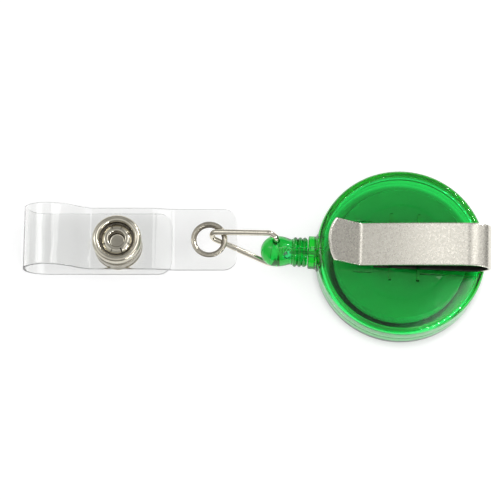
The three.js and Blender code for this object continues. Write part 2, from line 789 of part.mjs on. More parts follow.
function ferruleGroup() {
  const group = new THREE.Group();
  const body = piece('cord_ferrule', geometryOf(ferrule()), GREEN, 0.15);
  body.position.set(FERRULE_X, 0, CORD_Z);
  body.rotation.y = -Math.PI / 2;
  const knot = piece('cord_knot', new THREE.SphereGeometry(KNOT_R, 12, 8), CORD_WHITE, 0.8);
  knot.position.set(FERRULE_X - (POCKET.from + POCKET.to) / 2 - 0.15, 0, CORD_Z);
  const frame = hookFrame();
  const hook = piece('hook_wire', hookWire(frame.tip), NICKEL, 0.25, 1);
  hook.quaternion.setFromRotationMatrix(frame.turn);
  hook.position.copy(frame.origin);
  group.add(body, knot, hook);
  return group;
}

function eyeletGroup() {
  const group = new THREE.Group();
  group.position.copy(EYELET);
  group.add(
    piece('eyelet_barrel', geometryOf(eyeletBarrel()), NICKEL, 0.25, 1),
    piece('eyelet_washer', geometryOf(eyeletWasher()), NICKEL, 0.25, 1),
  );
  return group;
}

function snapGroup() {
  const group = new THREE.Group();
  group.position.set(SNAP.x, SNAP.y, 0);
  group.add(
    piece('snap_ring', geometryOf(snapRing()), NICKEL, 0.25, 1),
    piece('snap_stud', geometryOf(snapStud()), NICKEL, 0.25, 1),
    piece('snap_socket', geometryOf(snapSocket()), NICKEL, 0.25, 1),
    piece('snap_spring', snapSpring(), SPRING_STRIP, 0.3, 1),
    piece('snap_cap', geometryOf(snapCap()), NICKEL, 0.25, 1),
  );
  return group;
}

function strapGroup() {
  const group = new THREE.Group();
  group.rotation.z = STRAP_TURN;
  group.add(
    piece('strap_upper', geometryOf(strapUpper()), CLEAR_VINYL, 0.1),
    piece('strap_flap', geometryOf(strapFlap()), CLEAR_VINYL, 0.1),
    eyeletGroup(),
    snapGroup(),
  );
  return group;
}

const badgeReel = new THREE.Group();
badgeReel.add(caseGroup(), ferruleGroup(), strapGroup());

export default badgeReel;
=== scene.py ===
"""The looks of a retractable badge reel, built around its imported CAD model.

The case lies on its front face with the belt clip up. The cord leaves it along -X to a ferrule,
a wire hook, and a clear vinyl strap with an eyelet and a snap. Shapes are made in millimetres,
in the CAD model's own frame, and each piece is scaled to metres when it is placed on its body.
"""

import json
import math

import bmesh
import bpy
from mathutils import Matrix, Vector


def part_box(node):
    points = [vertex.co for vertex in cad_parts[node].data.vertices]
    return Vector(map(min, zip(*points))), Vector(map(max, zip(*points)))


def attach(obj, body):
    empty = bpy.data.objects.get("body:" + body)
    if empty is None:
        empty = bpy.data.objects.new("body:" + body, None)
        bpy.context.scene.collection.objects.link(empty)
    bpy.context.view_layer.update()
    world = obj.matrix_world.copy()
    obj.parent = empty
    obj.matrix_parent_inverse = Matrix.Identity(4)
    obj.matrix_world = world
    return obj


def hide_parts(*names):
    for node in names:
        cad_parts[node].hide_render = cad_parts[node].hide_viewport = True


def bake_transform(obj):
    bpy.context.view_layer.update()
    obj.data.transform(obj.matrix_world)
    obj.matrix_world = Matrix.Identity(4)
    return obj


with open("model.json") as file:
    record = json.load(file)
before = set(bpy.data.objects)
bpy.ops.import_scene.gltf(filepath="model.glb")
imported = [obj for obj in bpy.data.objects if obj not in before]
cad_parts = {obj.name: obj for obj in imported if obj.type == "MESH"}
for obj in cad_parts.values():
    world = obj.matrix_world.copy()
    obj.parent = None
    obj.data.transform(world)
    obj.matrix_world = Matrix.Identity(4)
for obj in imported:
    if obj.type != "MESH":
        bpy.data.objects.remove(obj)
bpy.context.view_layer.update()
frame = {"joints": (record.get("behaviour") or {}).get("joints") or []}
scene = bpy.context.scene
MM = 0.001


# ------------------------------------------------------------------ places from the frame

def node_box(node):
    low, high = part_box(node)
    return low / MM, high / MM


def joint(name):
    return next(j for j in frame["joints"] if j["name"] == name)


def joint_place(name):
    return Vector(joint(name)["pos_m"]) / MM


def joint_axis(name):
    return Vector(joint(name)["axis"]).normalized()


CASE_R = node_box("front_cover")[1].x
COLLAR_REACH = -node_box("front_cover")[0].x
PIN_TOP = node_box("front_cover")[1].z
BRIDGE_TOP = node_box("back_cover")[1].z
CLIP_REACH = node_box("belt_clip_leaf")[1].x
BULB_MIDDLE = joint_place("ferrule_twist")
CORD_Z = BULB_MIDDLE.z
EYELET = joint_place("strap_turn")
STRAP_TURN = math.atan2(-joint_axis("snap_open").x, joint_axis("snap_open").y)
TO_STRAP = Matrix.Rotation(-STRAP_TURN, 4, "Z")
FROM_STRAP = Matrix.Rotation(STRAP_TURN, 4, "Z")

# ------------------------------------------------------------------ sizes in millimetres

RIM_TOP = 8.3
EDGE_R = 1.2
WALL = 1.05
PLATE = 1.2
BACK_Z = 7.8
SEAM_Z = CORD_Z
LAP_RISE = 0.8
LAP_GAP = 0.1
SEAT_GAP = 0.05
INNER_R = CASE_R - WALL
MID_WALL_R = CASE_R - WALL / 2
CIRCLE_R = 9.15
COLLAR_R = 3.15
COLLAR_FLARE_R = 0.45
CORD_HOLE_R = 0.7
PIN_R = 1.5
PIN_SLOT = 0.6

CLIP_Y = 0.7
CLIP_WIDTH = 8.2
STEEL = 0.5
CLIP_GAP_MIDDLE = Vector((6, CLIP_Y, 9.8))
CLIP_BEND_REACH = 3.6
CLIP_BEND_RISE = 2.2
CLIP_LEG_END = -5.2
LEAF_ARCH = 0.16
CREASE = Vector((-7.8, 8.95))
TIP = Vector((-13.8, 12.98))
TIP_CORNER_X = -12.57
LEG_ROOM = CLIP_WIDTH / 2 + 0.2
BRIDGES_X = ((-2.35, -1.8), (2.9, 3.45))
BRIDGE_HALF_WIDTH = 6.45
BRIDGE_UNDERSIDE = 8.5

SPOOL_R = 12.6
SPOOL_HOLE_R = 1.7
HUB_R = 2.4
HUB_LOW = 4.8
SPOOL_LOW = 1.6
SPOOL_HIGH = 6.2
FLANGE = 0.5
DRUM_R = 10
DRUM_WALL = 0.8
CORD_R = 0.4

NECK_R = 2.5
NECK_LENGTH = 2.7
RIB = 0.35
BULB_R = 2.95
BULB_AT = 5.9
BULB_TIP = 8.8
FERRULE_X = BULB_MIDDLE.x + BULB_AT
WIRE_R = 0.55

STRAP_Y = 3.3
STRAP_WIDTH = 12
VINYL = 0.5
RIPPLE = 0.05
STRAP_END_X = -30.95
FLAP_END_X = -43.45
FLAP_Z = 1.15
LOOP_FROM_X = -58
SNAP_LAYER_Z = 5.15
SNAP = Vector((-53.76, 2.9, 0))
SNAP_R = 4.7

FINE = 160
MEDIUM = 96


# ------------------------------------------------------------------ mesh helpers

def mesh_object(name, points, faces):
    mesh = bpy.data.meshes.new(name)
    mesh.from_pydata(points, [], faces)
    mesh.validate()
    obj = bpy.data.objects.new(name, mesh)
    scene.collection.objects.link(obj)
    return obj


def applied(obj):
    """The object with its modifiers made part of its mesh."""
    bpy.context.view_layer.update()
    graph = bpy.context.evaluated_depsgraph_get()
    mesh = bpy.data.meshes.new_from_object(obj.evaluated_get(graph))
    obj.modifiers.clear()
    obj.data = mesh
    return obj


def combined(obj, tool, operation):
    """The object after a boolean with a tool, which is used up."""
    modifier = obj.modifiers.new("boolean", "BOOLEAN")
    modifier.operation = operation
    modifier.solver = "MANIFOLD"
    modifier.object = tool
    applied(obj)
    bpy.data.objects.remove(tool)
    return obj


def joined(obj, tool):
    return combined(obj, tool, "UNION")


def cut(obj, tool):
    return combined(obj, tool, "DIFFERENCE")


def kept(obj, tool):
    return combined(obj, tool, "INTERSECT")


def filleted(corners, steps=6, closed=True):
    """A line through corners (x, y) or (x, y, radius), with the latter rounded."""
    line = []
    for i, corner in enumerate(corners):
        here = Vector(corner[:2])
        at_end = not closed and i in (0, len(corners) - 1)
        if len(corner) < 3 or at_end:
            line.append(here)
            continue
        to_last = (Vector(corners[i - 1][:2]) - here).normalized()
        to_next = (Vector(corners[(i + 1) % len(corners)][:2]) - here).normalized()
        half = to_last.angle(to_next) / 2
        middle = here + (to_last + to_next).normalized() * (corner[2] / math.sin(half))
        start = here + to_last * (corner[2] / math.tan(half)) - middle
        end = here + to_next * (corner[2] / math.tan(half)) - middle
        turn = math.atan2(start.x * end.y - start.y * end.x, start.dot(end))
        for step in range(steps + 1):
            angle = turn * step / steps
            turned = Matrix.Rotation(angle, 2) @ start
            line.append(middle + turned)
    return line


def lathe(name, outline, steps=MEDIUM, closed=False):
    """(radius, height) pairs, anticlockwise, turned about Z. A ring's outline is closed."""
    points, rings = [], []
    for radius, height in outline:
        count = steps if radius > 1e-6 else 1
        rings.append([len(points) + i for i in range(count)])
        for i in range(count):
            angle = 2 * math.pi * i / steps
            points.append((radius * math.cos(angle), radius * math.sin(angle), height))
    pairs = list(zip(rings, rings[1:]))
    if closed:
        pairs.append((rings[-1], rings[0]))
    faces = []
    for low, high in pairs:
        for i in range(steps):
            j = (i + 1) % steps
            ends = (low, i), (low, j), (high, j), (high, i)
            corners = [ring[k % len(ring)] for ring, k in ends]
            corners = list(dict.fromkeys(corners))
            if len(corners) > 2:
                faces.append(corners)
    return mesh_object(name, points, faces)


def turned(obj, matrix):
    obj.data.transform(matrix)
    return obj


def along_cord(obj, x=0.0):
    """Turns a lathe's Z to -X, on the cord's line, with its zero at x."""
    place = Matrix.Translation((x, 0, CORD_Z)) @ Matrix.Rotation(-math.pi / 2, 4, "Y")
    return turned(obj, place)


def block(low, high, edge=0.0):
    """A box from corner to corner, with its edges rounded."""
    low, high = Vector(low), Vector(high)
    mesh = bmesh.new()
    bmesh.ops.create_cube(mesh, size=1)
    for vert in mesh.verts:
        vert.co = (low + high) / 2 + Vector(a * b for a, b in zip(vert.co, high - low))
    if edge:
        bmesh.ops.bevel(
            mesh, geom=mesh.edges[:], offset=edge, segments=3, profile=0.5, affect="EDGES")
    data = bpy.data.meshes.new("block")
    mesh.to_mesh(data)
    mesh.free()
    obj = bpy.data.objects.new("block", data)
    scene.collection.objects.link(obj)
    return obj


def rod(start, end, radius, steps=48):
    """A cylinder from one point to another."""
    start, end = Vector(start), Vector(end)
    length = (end - start).length
    obj = lathe("rod", [(0, 0), (radius, 0), (radius, length), (0, length)], steps)
    turn = (end - start).to_track_quat("Z", "Y").to_matrix().to_4x4()
    return turned(obj, Matrix.Translation(start) @ turn)


def tube(name, line, radius, sides=16, radii=None):
    """A tube along points, closed at its ends. radii may give a radius at each point."""
    points, faces = [], []
    last = len(line) - 1
    side = None
    for i, here in enumerate(line):
        along = (line[min(i + 1, last)] - line[max(i - 1, 0)]).normalized()
        if side is None:
            side = along.orthogonal()
        side = (side - along * side.dot(along)).normalized()
        other = along.cross(side)
        reach = radii[i] if radii else radius
        for k in range(sides):
            angle = 2 * math.pi * k / sides
            points.append(here + (side * math.cos(angle) + other * math.sin(angle)) * reach)
    for i in range(last):
        for k in range(sides):
            low, high = i * sides, (i + 1) * sides
            n = (k + 1) % sides
            faces.append((low + k, low + n, high + n, high + k))
    faces.append(list(range(sides))[::-1])
    faces.append([last * sides + k for k in range(sides)])
    return mesh_object(name, points, faces)


def domed(line, radius, steps=4):
    """A line and its radii, with both ends rounded over."""
    start = (line[0] - line[1]).normalized()
    end = (line[-1] - line[-2]).normalized()
    head, tail = [], []
    for step in range(steps + 1):
        angle = math.pi / 2 * step / (steps + 0.6)
        reach, size = math.sin(angle) * radius, math.cos(angle) * radius
        head.insert(0, (line[0] + start * reach, size))
        tail.append((line[-1] + end * reach, size))
    ends = head + [(p, radius) for p in line[1:-1]] + tail
    return [p for p, _ in ends], [r for _, r in ends]


def strip(name, line, thickness, columns, place):
    """A thin strip along a 2D line. place(row, point, column) gives a 3D point."""
    points, faces = [], []
    rows = len(line)
    for side in (1, -1):
        for i, here in enumerate(line):
            along = (line[min(i + 1, rows - 1)] - line[max(i - 1, 0)]).normalized()
            normal = Vector((-along.y, along.x)) * side * thickness / 2
            for j in range(columns):
                points.append(place(i, here + normal, j))
    size = rows * columns

    def index(side, i, j):
        return side * size + i * columns + j

    for i in range(rows - 1):
        for j in range(columns - 1):
            top = [index(0, i, j), index(0, i + 1, j), index(0, i + 1, j + 1), index(0, i, j + 1)]
            faces.append(top)
            faces.append([p + size for p in reversed(top)])
        for j, flip in ((0, False), (columns - 1, True)):
            wall = [index(0, i, j), index(1, i, j), index(1, i + 1, j), index(0, i + 1, j)]
            faces.append(wall[::-1] if flip else wall)
    for j in range(columns - 1):
        for i, flip in ((0, True), (rows - 1, False)):
            wall = [index(0, i, j), index(1, i, j), index(1, i, j + 1), index(0, i, j + 1)]
            faces.append(wall[::-1] if flip else wall)
    obj = mesh_object(name, points, faces)
    return outward(obj)


def outward(obj):
    """The object with its faces pointing out."""
    mesh = bmesh.new()
    mesh.from_mesh(obj.data)
    bmesh.ops.recalc_face_normals(mesh, faces=mesh.faces[:])
    mesh.to_mesh(obj.data)
    mesh.free()
    return obj


def soften(obj, width, segments=3, angle=50):
    """Rounds the object's sharp edges."""
    modifier = obj.modifiers.new("bevel", "BEVEL")
    modifier.width = width
    modifier.segments = segments
    modifier.limit_method = "ANGLE"
    modifier.angle_limit = math.radians(angle)
    return applied(obj)


def curve_points(line, spacing):
    """A polyline's points, evenly spaced."""
    out, carried = [line[0].copy()], 0.0
    for a, b in zip(line, line[1:]):
        length = (b - a).length
        at = spacing - carried
        while at < length:
            out.append(a.lerp(b, at / length))
            at += spacing
        carried = length - (at - spacing)
    if (out[-1] - line[-1]).length > spacing * 0.3:
        out.append(line[-1].copy())
    else:
        out[-1] = line[-1].copy()
    return out


def smooth_line(knots, steps=10):
    """A Catmull-Rom curve through knots."""
    ends = [knots[0] * 2 - knots[1], *knots, knots[-1] * 2 - knots[-2]]
    line = []
    for a, b, c, d in zip(ends, ends[1:], ends[2:], ends[3:]):
        for step in range(steps):
            t = step / steps
            line.append((b * 2 + (c - a) * t + (a * 2 - b * 5 + c * 4 - d) * t ** 2
                         + (b * 3 - a - c * 3 + d) * t ** 3) / 2)
    line.append(knots[-1].copy())
    return line


def finished(obj, name, material, slot, sharp=35):
    """Scales a piece to metres and gives it its name, material and shading."""
    obj.name = name
    obj.data.name = name
    obj.data.transform(Matrix.Scale(MM, 4))
    obj.data.materials.clear()
    obj.data.materials.append(material)
    obj.data.shade_smooth()
    obj.data.set_sharp_from_angle(angle=math.radians(sharp))
    weighted = obj.modifiers.new("weighted", "WEIGHTED_NORMAL")
    weighted.keep_sharp = True
    applied(obj)
    obj.data.name = name
    return obj


# ------------------------------------------------------------------ materials

def new_material(name):
    material = bpy.data.materials.new(name)
    material.use_nodes = True
    tree = material.node_tree
    shader = tree.nodes["Principled BSDF"]
    return material, tree, shader


def noise(tree, scale, detail=2.0, stretch=(1, 1, 1)):
    """A noise texture in the piece's own space. scale is in lumps to the metre."""
    place = tree.nodes.new("ShaderNodeTexCoord")
    mapping = tree.nodes.new("ShaderNodeMapping")
    mapping.inputs["Scale"].default_value = stretch
    texture = tree.nodes.new("ShaderNodeTexNoise")
    texture.inputs["Scale"].default_value = scale
    texture.inputs["Detail"].default_value = detail
    tree.links.new(place.outputs["Object"], mapping.inputs["Vector"])
    tree.links.new(mapping.outputs["Vector"], texture.inputs["Vector"])
    return texture.outputs["Fac"]


def ranged(tree, value, low, high, start=0.3, stop=0.7):
    """A value between start and stop, spread from low to high."""
    node = tree.nodes.new("ShaderNodeMapRange")
    node.inputs["From Min"].default_value = start
    node.inputs["From Max"].default_value = stop
    node.inputs["To Min"].default_value = low
    node.inputs["To Max"].default_value = high
    tree.links.new(value, node.inputs["Value"])
    return node.outputs["Result"]


def bump(tree, shader, height, strength, distance):
    node = tree.nodes.new("ShaderNodeBump")
    node.inputs["Strength"].default_value = strength
    node.inputs["Distance"].default_value = distance
    tree.links.new(height, node.inputs["Height"])
    tree.links.new(node.outputs["Normal"], shader.inputs["Normal"])


def mixed(tree, value, dark, light):
    node = tree.nodes.new("ShaderNodeMix")
    node.data_type = "RGBA"
    node.inputs["A"].default_value = (*dark, 1)
    node.inputs["B"].default_value = (*light, 1)
    tree.links.new(value, node.inputs["Factor"])
    return node.outputs["Result"]


def clear_plastic(name, tint, absorbed, density, ior, roughness):
    """A clear or tinted plastic that darkens with depth."""
    material, tree, shader = new_material(name)
    shader.inputs["Base Color"].default_value = (*tint, 1)
    shader.inputs["Transmission Weight"].default_value = 1
    shader.inputs["IOR"].default_value = ior
    shader.inputs["Specular IOR Level"].default_value = 0.3
    volume = tree.nodes.new("ShaderNodeVolumeAbsorption")
    volume.inputs["Color"].default_value = (*absorbed, 1)
    volume.inputs["Density"].default_value = density
    output = tree.nodes["Material Output"]
    tree.links.new(volume.outputs["Volume"], output.inputs["Volume"])
    worn = noise(tree, 900, 3)
    tree.links.new(ranged(tree, worn, roughness * 0.6, roughness * 1.8), shader.inputs["Roughness"])
    bump(tree, shader, noise(tree, 260, 1), 0.1, 0.00006)
    return material


def nickel(name, dark, light, roughness):
    material, tree, shader = new_material(name)
    shader.inputs["Metallic"].default_value = 1
    tone = ranged(tree, noise(tree, 420, 4), 0, 1)
    tree.links.new(mixed(tree, tone, dark, light), shader.inputs["Base Color"])
    tree.links.new(ranged(tree, noise(tree, 1600, 3), *roughness), shader.inputs["Roughness"])
    bump(tree, shader, noise(tree, 2600, 2), 0.12, 0.00003)
    return material


def clip_steel():
    material, tree, shader = new_material("tumbled_steel")
    shader.inputs["Metallic"].default_value = 1
    grain = noise(tree, 3800, 3)
    tone = ranged(tree, grain, 0, 1, 0.35, 0.65)
    tree.links.new(mixed(tree, tone, (0.68, 0.65, 0.57), (0.82, 0.79, 0.71)),
                   shader.inputs["Base Color"])
    tree.links.new(ranged(tree, noise(tree, 2300, 4), 0.24, 0.34), shader.inputs["Roughness"])
    bump(tree, shader, grain, 0.06, 0.00004)
    return material


def clip_painted_shade():
    """The clip's inner side and leg, nearly black: painted shade for the dark gap under the clip.
    """
    material, tree, shader = new_material("clip_painted_shade_steel")
    shader.inputs["Metallic"].default_value = 1
    tree.links.new(mixed(tree, noise(tree, 3000, 3), (0.03, 0.03, 0.025), (0.08, 0.08, 0.07)),
                   shader.inputs["Base Color"])
    tree.links.new(ranged(tree, noise(tree, 1800, 3), 0.35, 0.5), shader.inputs["Roughness"])
    return material


def spring_strip():
    material, tree, shader = new_material("blued_spring_strip")
    shader.inputs["Metallic"].default_value = 1
    drawn = noise(tree, 900, 4, (1, 1, 9))
    tree.links.new(mixed(tree, drawn, (0.24, 0.23, 0.23), (0.42, 0.4, 0.38)),
                   shader.inputs["Base Color"])
    tree.links.new(ranged(tree, drawn, 0.25, 0.45), shader.inputs["Roughness"])
    bump(tree, shader, drawn, 0.2, 0.00002)
    return material


def natural_plastic():
    """The spool's unpainted plastic, which lets a little light through."""
    material, tree, shader = new_material("natural_plastic")
    clouds = ranged(tree, noise(tree, 300, 3), 0, 1)
    tree.links.new(mixed(tree, clouds, (0.84, 0.86, 0.8), (0.9, 0.92, 0.87)),
                   shader.inputs["Base Color"])
    tree.links.new(ranged(tree, noise(tree, 1500, 2), 0.4, 0.55), shader.inputs["Roughness"])
    shader.inputs["Transmission Weight"].default_value = 0.25
    bump(tree, shader, noise(tree, 900, 2), 0.15, 0.00004)
    return material


def braid():
    material, tree, shader = new_material("braided_nylon")
    place = tree.nodes.new("ShaderNodeTexCoord")
    wave = tree.nodes.new("ShaderNodeTexWave")
    wave.bands_direction = "DIAGONAL"
    wave.inputs["Scale"].default_value = 900
    wave.inputs["Distortion"].default_value = 2
    tree.links.new(place.outputs["Object"], wave.inputs["Vector"])
    tree.links.new(mixed(tree, wave.outputs["Fac"], (0.72, 0.72, 0.69), (0.9, 0.9, 0.87)),
                   shader.inputs["Base Color"])
    shader.inputs["Roughness"].default_value = 0.7
    shader.inputs["Sheen Weight"].default_value = 0.3
    bump(tree, shader, wave.outputs["Fac"], 0.5, 0.00006)
    return material


STYRENE_IOR, VINYL_IOR = 1.55, 1.5
STYRENE_DENSITY, VINYL_DENSITY = 1000, 20
VINYL_ABSORBED = (0.6, 0.62, 0.6)

GREEN = clear_plastic(
    "green_styrene", (0.35, 0.99, 0.62), (0.1, 0.967, 0.55), STYRENE_DENSITY, STYRENE_IOR, 0.03)
# A darker copy of the green styrene for the ferrule: painted shade, as the glowing floor lights it
# too much.
GREEN_SHADED = clear_plastic(
    "shaded_green_styrene", (0.3, 0.96, 0.55), (0.05, 0.88, 0.5), STYRENE_DENSITY, STYRENE_IOR, 0.05)
VINYL_CLEAR = clear_plastic(
    "clear_vinyl", (0.925, 0.928, 0.922), VINYL_ABSORBED, VINYL_DENSITY, VINYL_IOR, 0.04)
# The strap's cut faces: their roughness is the rough cut, their grey tint is painted shade that
# draws the strap's outline.
VINYL_EDGE_SHADE = clear_plastic(
    "cut_vinyl_edge_shade", (0.5, 0.51, 0.5), VINYL_ABSORBED, VINYL_DENSITY, VINYL_IOR, 0.4)
NICKEL = nickel("polished_nickel", (0.64, 0.6, 0.5), (0.78, 0.74, 0.62), (0.08, 0.2))
# A darker, rougher nickel for the eyelet and the socket.
NICKEL_DARKER = nickel("dull_nickel", (0.42, 0.39, 0.32), (0.58, 0.54, 0.45), (0.12, 0.28))
# Nearly black nickel, painted shade for the hollows of the eyelet and the snap.
NICKEL_PAINTED_SHADE = nickel("nickel_painted_shade", (0.1, 0.09, 0.07), (0.24, 0.21, 0.17), (0.2, 0.4))
STEEL_SATIN = clip_steel()
# Nearly black steel, painted shade for the gap under the clip.
STEEL_PAINTED_SHADE = clip_painted_shade()
SPRING = spring_strip()
NATURAL = natural_plastic()
CORD_BRAID = braid()


# ------------------------------------------------------------------ case

def collar_half(upper):
    """Half of the collar around the cord's way out, flared into the wall."""
    flare_r = COLLAR_R + COLLAR_FLARE_R
    flare = [
        (flare_r + COLLAR_FLARE_R * math.cos(math.radians(angle)),
         CASE_R + 0.3 + COLLAR_FLARE_R * math.sin(math.radians(angle)))
        for angle in range(270, 179, -15)]
    outline = [(0, INNER_R), (flare_r, INNER_R), *flare]
    outline += filleted([
        (COLLAR_R, CASE_R + 0.4), (COLLAR_R, COLLAR_REACH, 0.25), (0, COLLAR_REACH)], 4, False)
    collar = along_cord(lathe("collar", outline, MEDIUM))
    far = COLLAR_REACH + 1
    low = SEAM_Z + SEAT_GAP if upper else 0
    high = RIM_TOP if upper else SEAM_Z
    kept(collar, block((-far, -flare_r - 0.1, low), (0, flare_r + 0.1, high)))
    inside = [(0, -1), (MID_WALL_R, -1), (MID_WALL_R, RIM_TOP + 1), (0, RIM_TOP + 1)]
    return cut(collar, lathe("inside", inside, FINE))


def cord_hole():
    return rod((1 - INNER_R, 0, CORD_Z), (-1 - COLLAR_REACH, 0, CORD_Z), CORD_HOLE_R)


def front_shell():
    lap_r = MID_WALL_R - LAP_GAP / 2
    outline = filleted([
        (0, 0),
        (CASE_R, 0, EDGE_R),
        (CASE_R, SEAM_Z, 0.16),
        (lap_r, SEAM_Z),
        (lap_r, SEAM_Z + LAP_RISE, 0.1),
        (INNER_R, SEAM_Z + LAP_RISE, 0.1),
        (INNER_R, PLATE, 0.5),
        (PIN_R, PLATE, 0.3),
        (PIN_R, PIN_TOP, 0.25),
        (0, PIN_TOP),
    ])
    shell = lathe("front_shell", outline, FINE)
    joined(shell, collar_half(False))
    cut(shell, cord_hole())
    cut(shell, block((-PIN_R - 1, -PIN_SLOT / 2, 1.7), (PIN_R + 1, PIN_SLOT / 2, PIN_TOP + 1)))
    return shell


def back_shell_body():
    under = BACK_Z - PLATE
    lap_r = MID_WALL_R + LAP_GAP / 2
    lap_z = SEAM_Z + LAP_RISE + LAP_GAP
    outline = filleted([
        (0, under),
        (1.75, under),
        (1.75, SPOOL_HIGH + 0.1, 0.1),
        (2.5, SPOOL_HIGH + 0.1, 0.1),
        (2.5, under, 0.15),
        (INNER_R, under, 0.5),
        (INNER_R, lap_z),
        (lap_r, lap_z),
        (lap_r, SEAM_Z + SEAT_GAP),
        (CASE_R, SEAM_Z + SEAT_GAP, 0.16),
        (CASE_R, RIM_TOP, EDGE_R),
        (INNER_R + 0.05, RIM_TOP, 0.04),
        (INNER_R, BACK_Z, 0.3),
        (CIRCLE_R + 0.2, BACK_Z, 0.05),
        (CIRCLE_R, BACK_Z - 0.2, 0.03),
        (CIRCLE_R - 0.2, BACK_Z, 0.05),
        (0, BACK_Z),
    ])
    return lathe("back_shell", outline, FINE)


def back_rib(from_x, to_x, from_y, to_y, top):
    low = (from_x, CLIP_Y + from_y, BACK_Z - 0.2)
    return block(low, (to_x, CLIP_Y + to_y, top), 0.07)


def back_shell():
    """The plate and its rim, with a notch for the clip, two bridges over its leg, and ribs."""
    shell = back_shell_body()
    low_y, high_y = CLIP_Y - LEG_ROOM, CLIP_Y + LEG_ROOM
    cut(shell, block((INNER_R - 1, low_y, BACK_Z), (CASE_R + 1, high_y, 10), 0.1))
    for from_x, to_x in BRIDGES_X:
        bridge = back_rib(from_x, to_x, -BRIDGE_HALF_WIDTH, BRIDGE_HALF_WIDTH, BRIDGE_TOP)
        cut(bridge, block((from_x - 1, low_y, BACK_Z - 0.3), (to_x + 1, high_y, BRIDGE_UNDERSIDE)))
        joined(shell, bridge)
    for side in (-1, 1):
        guide = sorted((side * (LEG_ROOM + 0.1), side * 5))
        beside = sorted((side * 4.8, side * 5.1))
        end = sorted((side * 2.6, side * 5))
        joined(shell, back_rib(3.1, INNER_R - 0.4, *guide, 8.3))
        joined(shell, back_rib(-9, -5.6, *beside, 8.1))
        joined(shell, back_rib(-5.7, -5.4, *end, 8.05))
    joined(shell, collar_half(True))
    return cut(shell, cord_hole())


def place_case():
    for make, name, node in ((front_shell, "front_shell", "front_cover"),
                             (back_shell, "back_shell", "back_cover")):
        shell = finished(make(), name, GREEN, "green_plastic", 28)
        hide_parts(node)
        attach(shell, "case")


# ------------------------------------------------------------------ belt clip

def clip_line():
    """The steel strip's centre line in (x, z) up to its straight tip, and the tip's end."""
    leg_z = BACK_Z + SEAT_GAP + STEEL / 2
    reach, rise = CLIP_BEND_REACH, CLIP_BEND_RISE
    bend = Vector((CLIP_REACH - STEEL / 2 - reach, leg_z + rise))
    scaled = Vector(((bend.x - CREASE.x) * rise / reach, bend.y - CREASE.y))
    slope = math.atan2(scaled.y, scaled.x) + math.asin(rise / scaled.length)
    line = [Vector((CLIP_LEG_END, leg_z)), Vector((bend.x, leg_z))]
    steps = 60
    for step in range(1, steps + 1):
        angle = -math.pi / 2 + (math.pi + slope) * step / steps
        line.append(bend + Vector((math.cos(angle) * reach, math.sin(angle) * rise)))
    crease = filleted([tuple(line[-1]), (*CREASE, 1.1), tuple(TIP)], 8, False)
    leaf_start, leaf_end = line[-1], crease[1]
    across_leaf = Vector((leaf_start.y - leaf_end.y, leaf_end.x - leaf_start.x))
    leaf_up = across_leaf.normalized() * -LEAF_ARCH
    for step in range(1, 16):
        share = step / 16
        line.append(leaf_start.lerp(leaf_end, share) + leaf_up * (4 * share * (1 - share)))
    return curve_points(line + crease[1:-1], 0.16), TIP


def belt_clip():
    line, tip = clip_line()
    flat_rows = len(line)
    tip_rows = 14
    start = line[-1]
    line = line + [start.lerp(tip, (i + 1) / tip_rows) for i in range(tip_rows)]
    half = CLIP_WIDTH / 2
    rise = TIP_CORNER_X - TIP.x
    radius = (half * half + rise * rise) / (2 * rise)
    columns = 25

    def place(i, point, j):
        across = -half + CLIP_WIDTH * j / (columns - 1)
        x, z = point
        if i >= flat_rows:
            share = (i - flat_rows + 1) / tip_rows
            inset = radius - math.sqrt(radius * radius - across * across)
            way = (tip - start) / (tip - start).x
            x += inset * share
            z += inset * share * way.y
        return Vector((x, CLIP_Y + across, z))

    clip = strip("belt_clip", line, STEEL, columns, place)
    return soften(clip, 0.09, 2, 60)


def place_clip():
    clip = finished(belt_clip(), "belt_clip", STEEL_SATIN, "spring_steel", 40)
    clip.data.materials.append(STEEL_PAINTED_SHADE)
    leg_top = BACK_Z + STEEL + 0.2
    # The leg and the faces turned to the gap get the nearly black painted shade.
    for face in clip.data.polygons:
        on_leg = face.center.z < leg_top * MM
        on_tip = face.center.x < (CREASE.x + 1.5) * MM
        faces_gap = (CLIP_GAP_MIDDLE * MM - face.center).dot(face.normal) > 0
        if on_leg or not on_tip and faces_gap:
            face.material_index = 1
    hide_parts("belt_clip_base", "belt_clip_leaf")
    slope = Vector((joint_place("clip_flex").x - CREASE.x, 0, 12.5 - CREASE.y)).normalized()
    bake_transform(clip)


# ------------------------------------------------------------------ spool, mainspring and cord

def spool():
    drum_in = DRUM_R - DRUM_WALL
    web = SPOOL_HIGH - FLANGE
    outline = filleted([
        (SPOOL_HOLE_R, HUB_LOW, 0.1),
        (HUB_R, HUB_LOW, 0.1),
        (HUB_R, web, 0.2),
        (drum_in, web, 0.4),
        (drum_in, SPOOL_LOW, 0.1),
        (SPOOL_R, SPOOL_LOW, 0.2),
        (SPOOL_R, SPOOL_LOW + FLANGE, 0.2),
        (DRUM_R, SPOOL_LOW + FLANGE, 0.1),
        (DRUM_R, web, 0.1),
        (SPOOL_R, web, 0.2),
        (SPOOL_R, SPOOL_HIGH, 0.2),
        (SPOOL_HOLE_R, SPOOL_HIGH, 0.1),
    ])
    return lathe("spool_body", outline, FINE, closed=True)


def mainspring():
    inner, outer = 2.15, DRUM_R - DRUM_WALL - 0.3
    turns, per_turn = 8, 64
    line = [Vector((-1.1, 0)), Vector((1.45, 0)), Vector((1.8, 0.14)), Vector((2.02, 0.42))]
    for i in range(12, turns * per_turn + 1):
        part = i / (turns * per_turn)
        radius = inner + (outer - inner) * (1.64 * part - 0.64 * part * part)
        angle = 0.1 + 2 * math.pi * i / per_turn
        line.append(Vector((radius * math.cos(angle), radius * math.sin(angle))))
    heights = (1.8, 4.6)
    return strip("mainspring_strip", line, 0.15, 2,
                 lambda i, point, j: Vector((point.x, point.y, heights[j])))


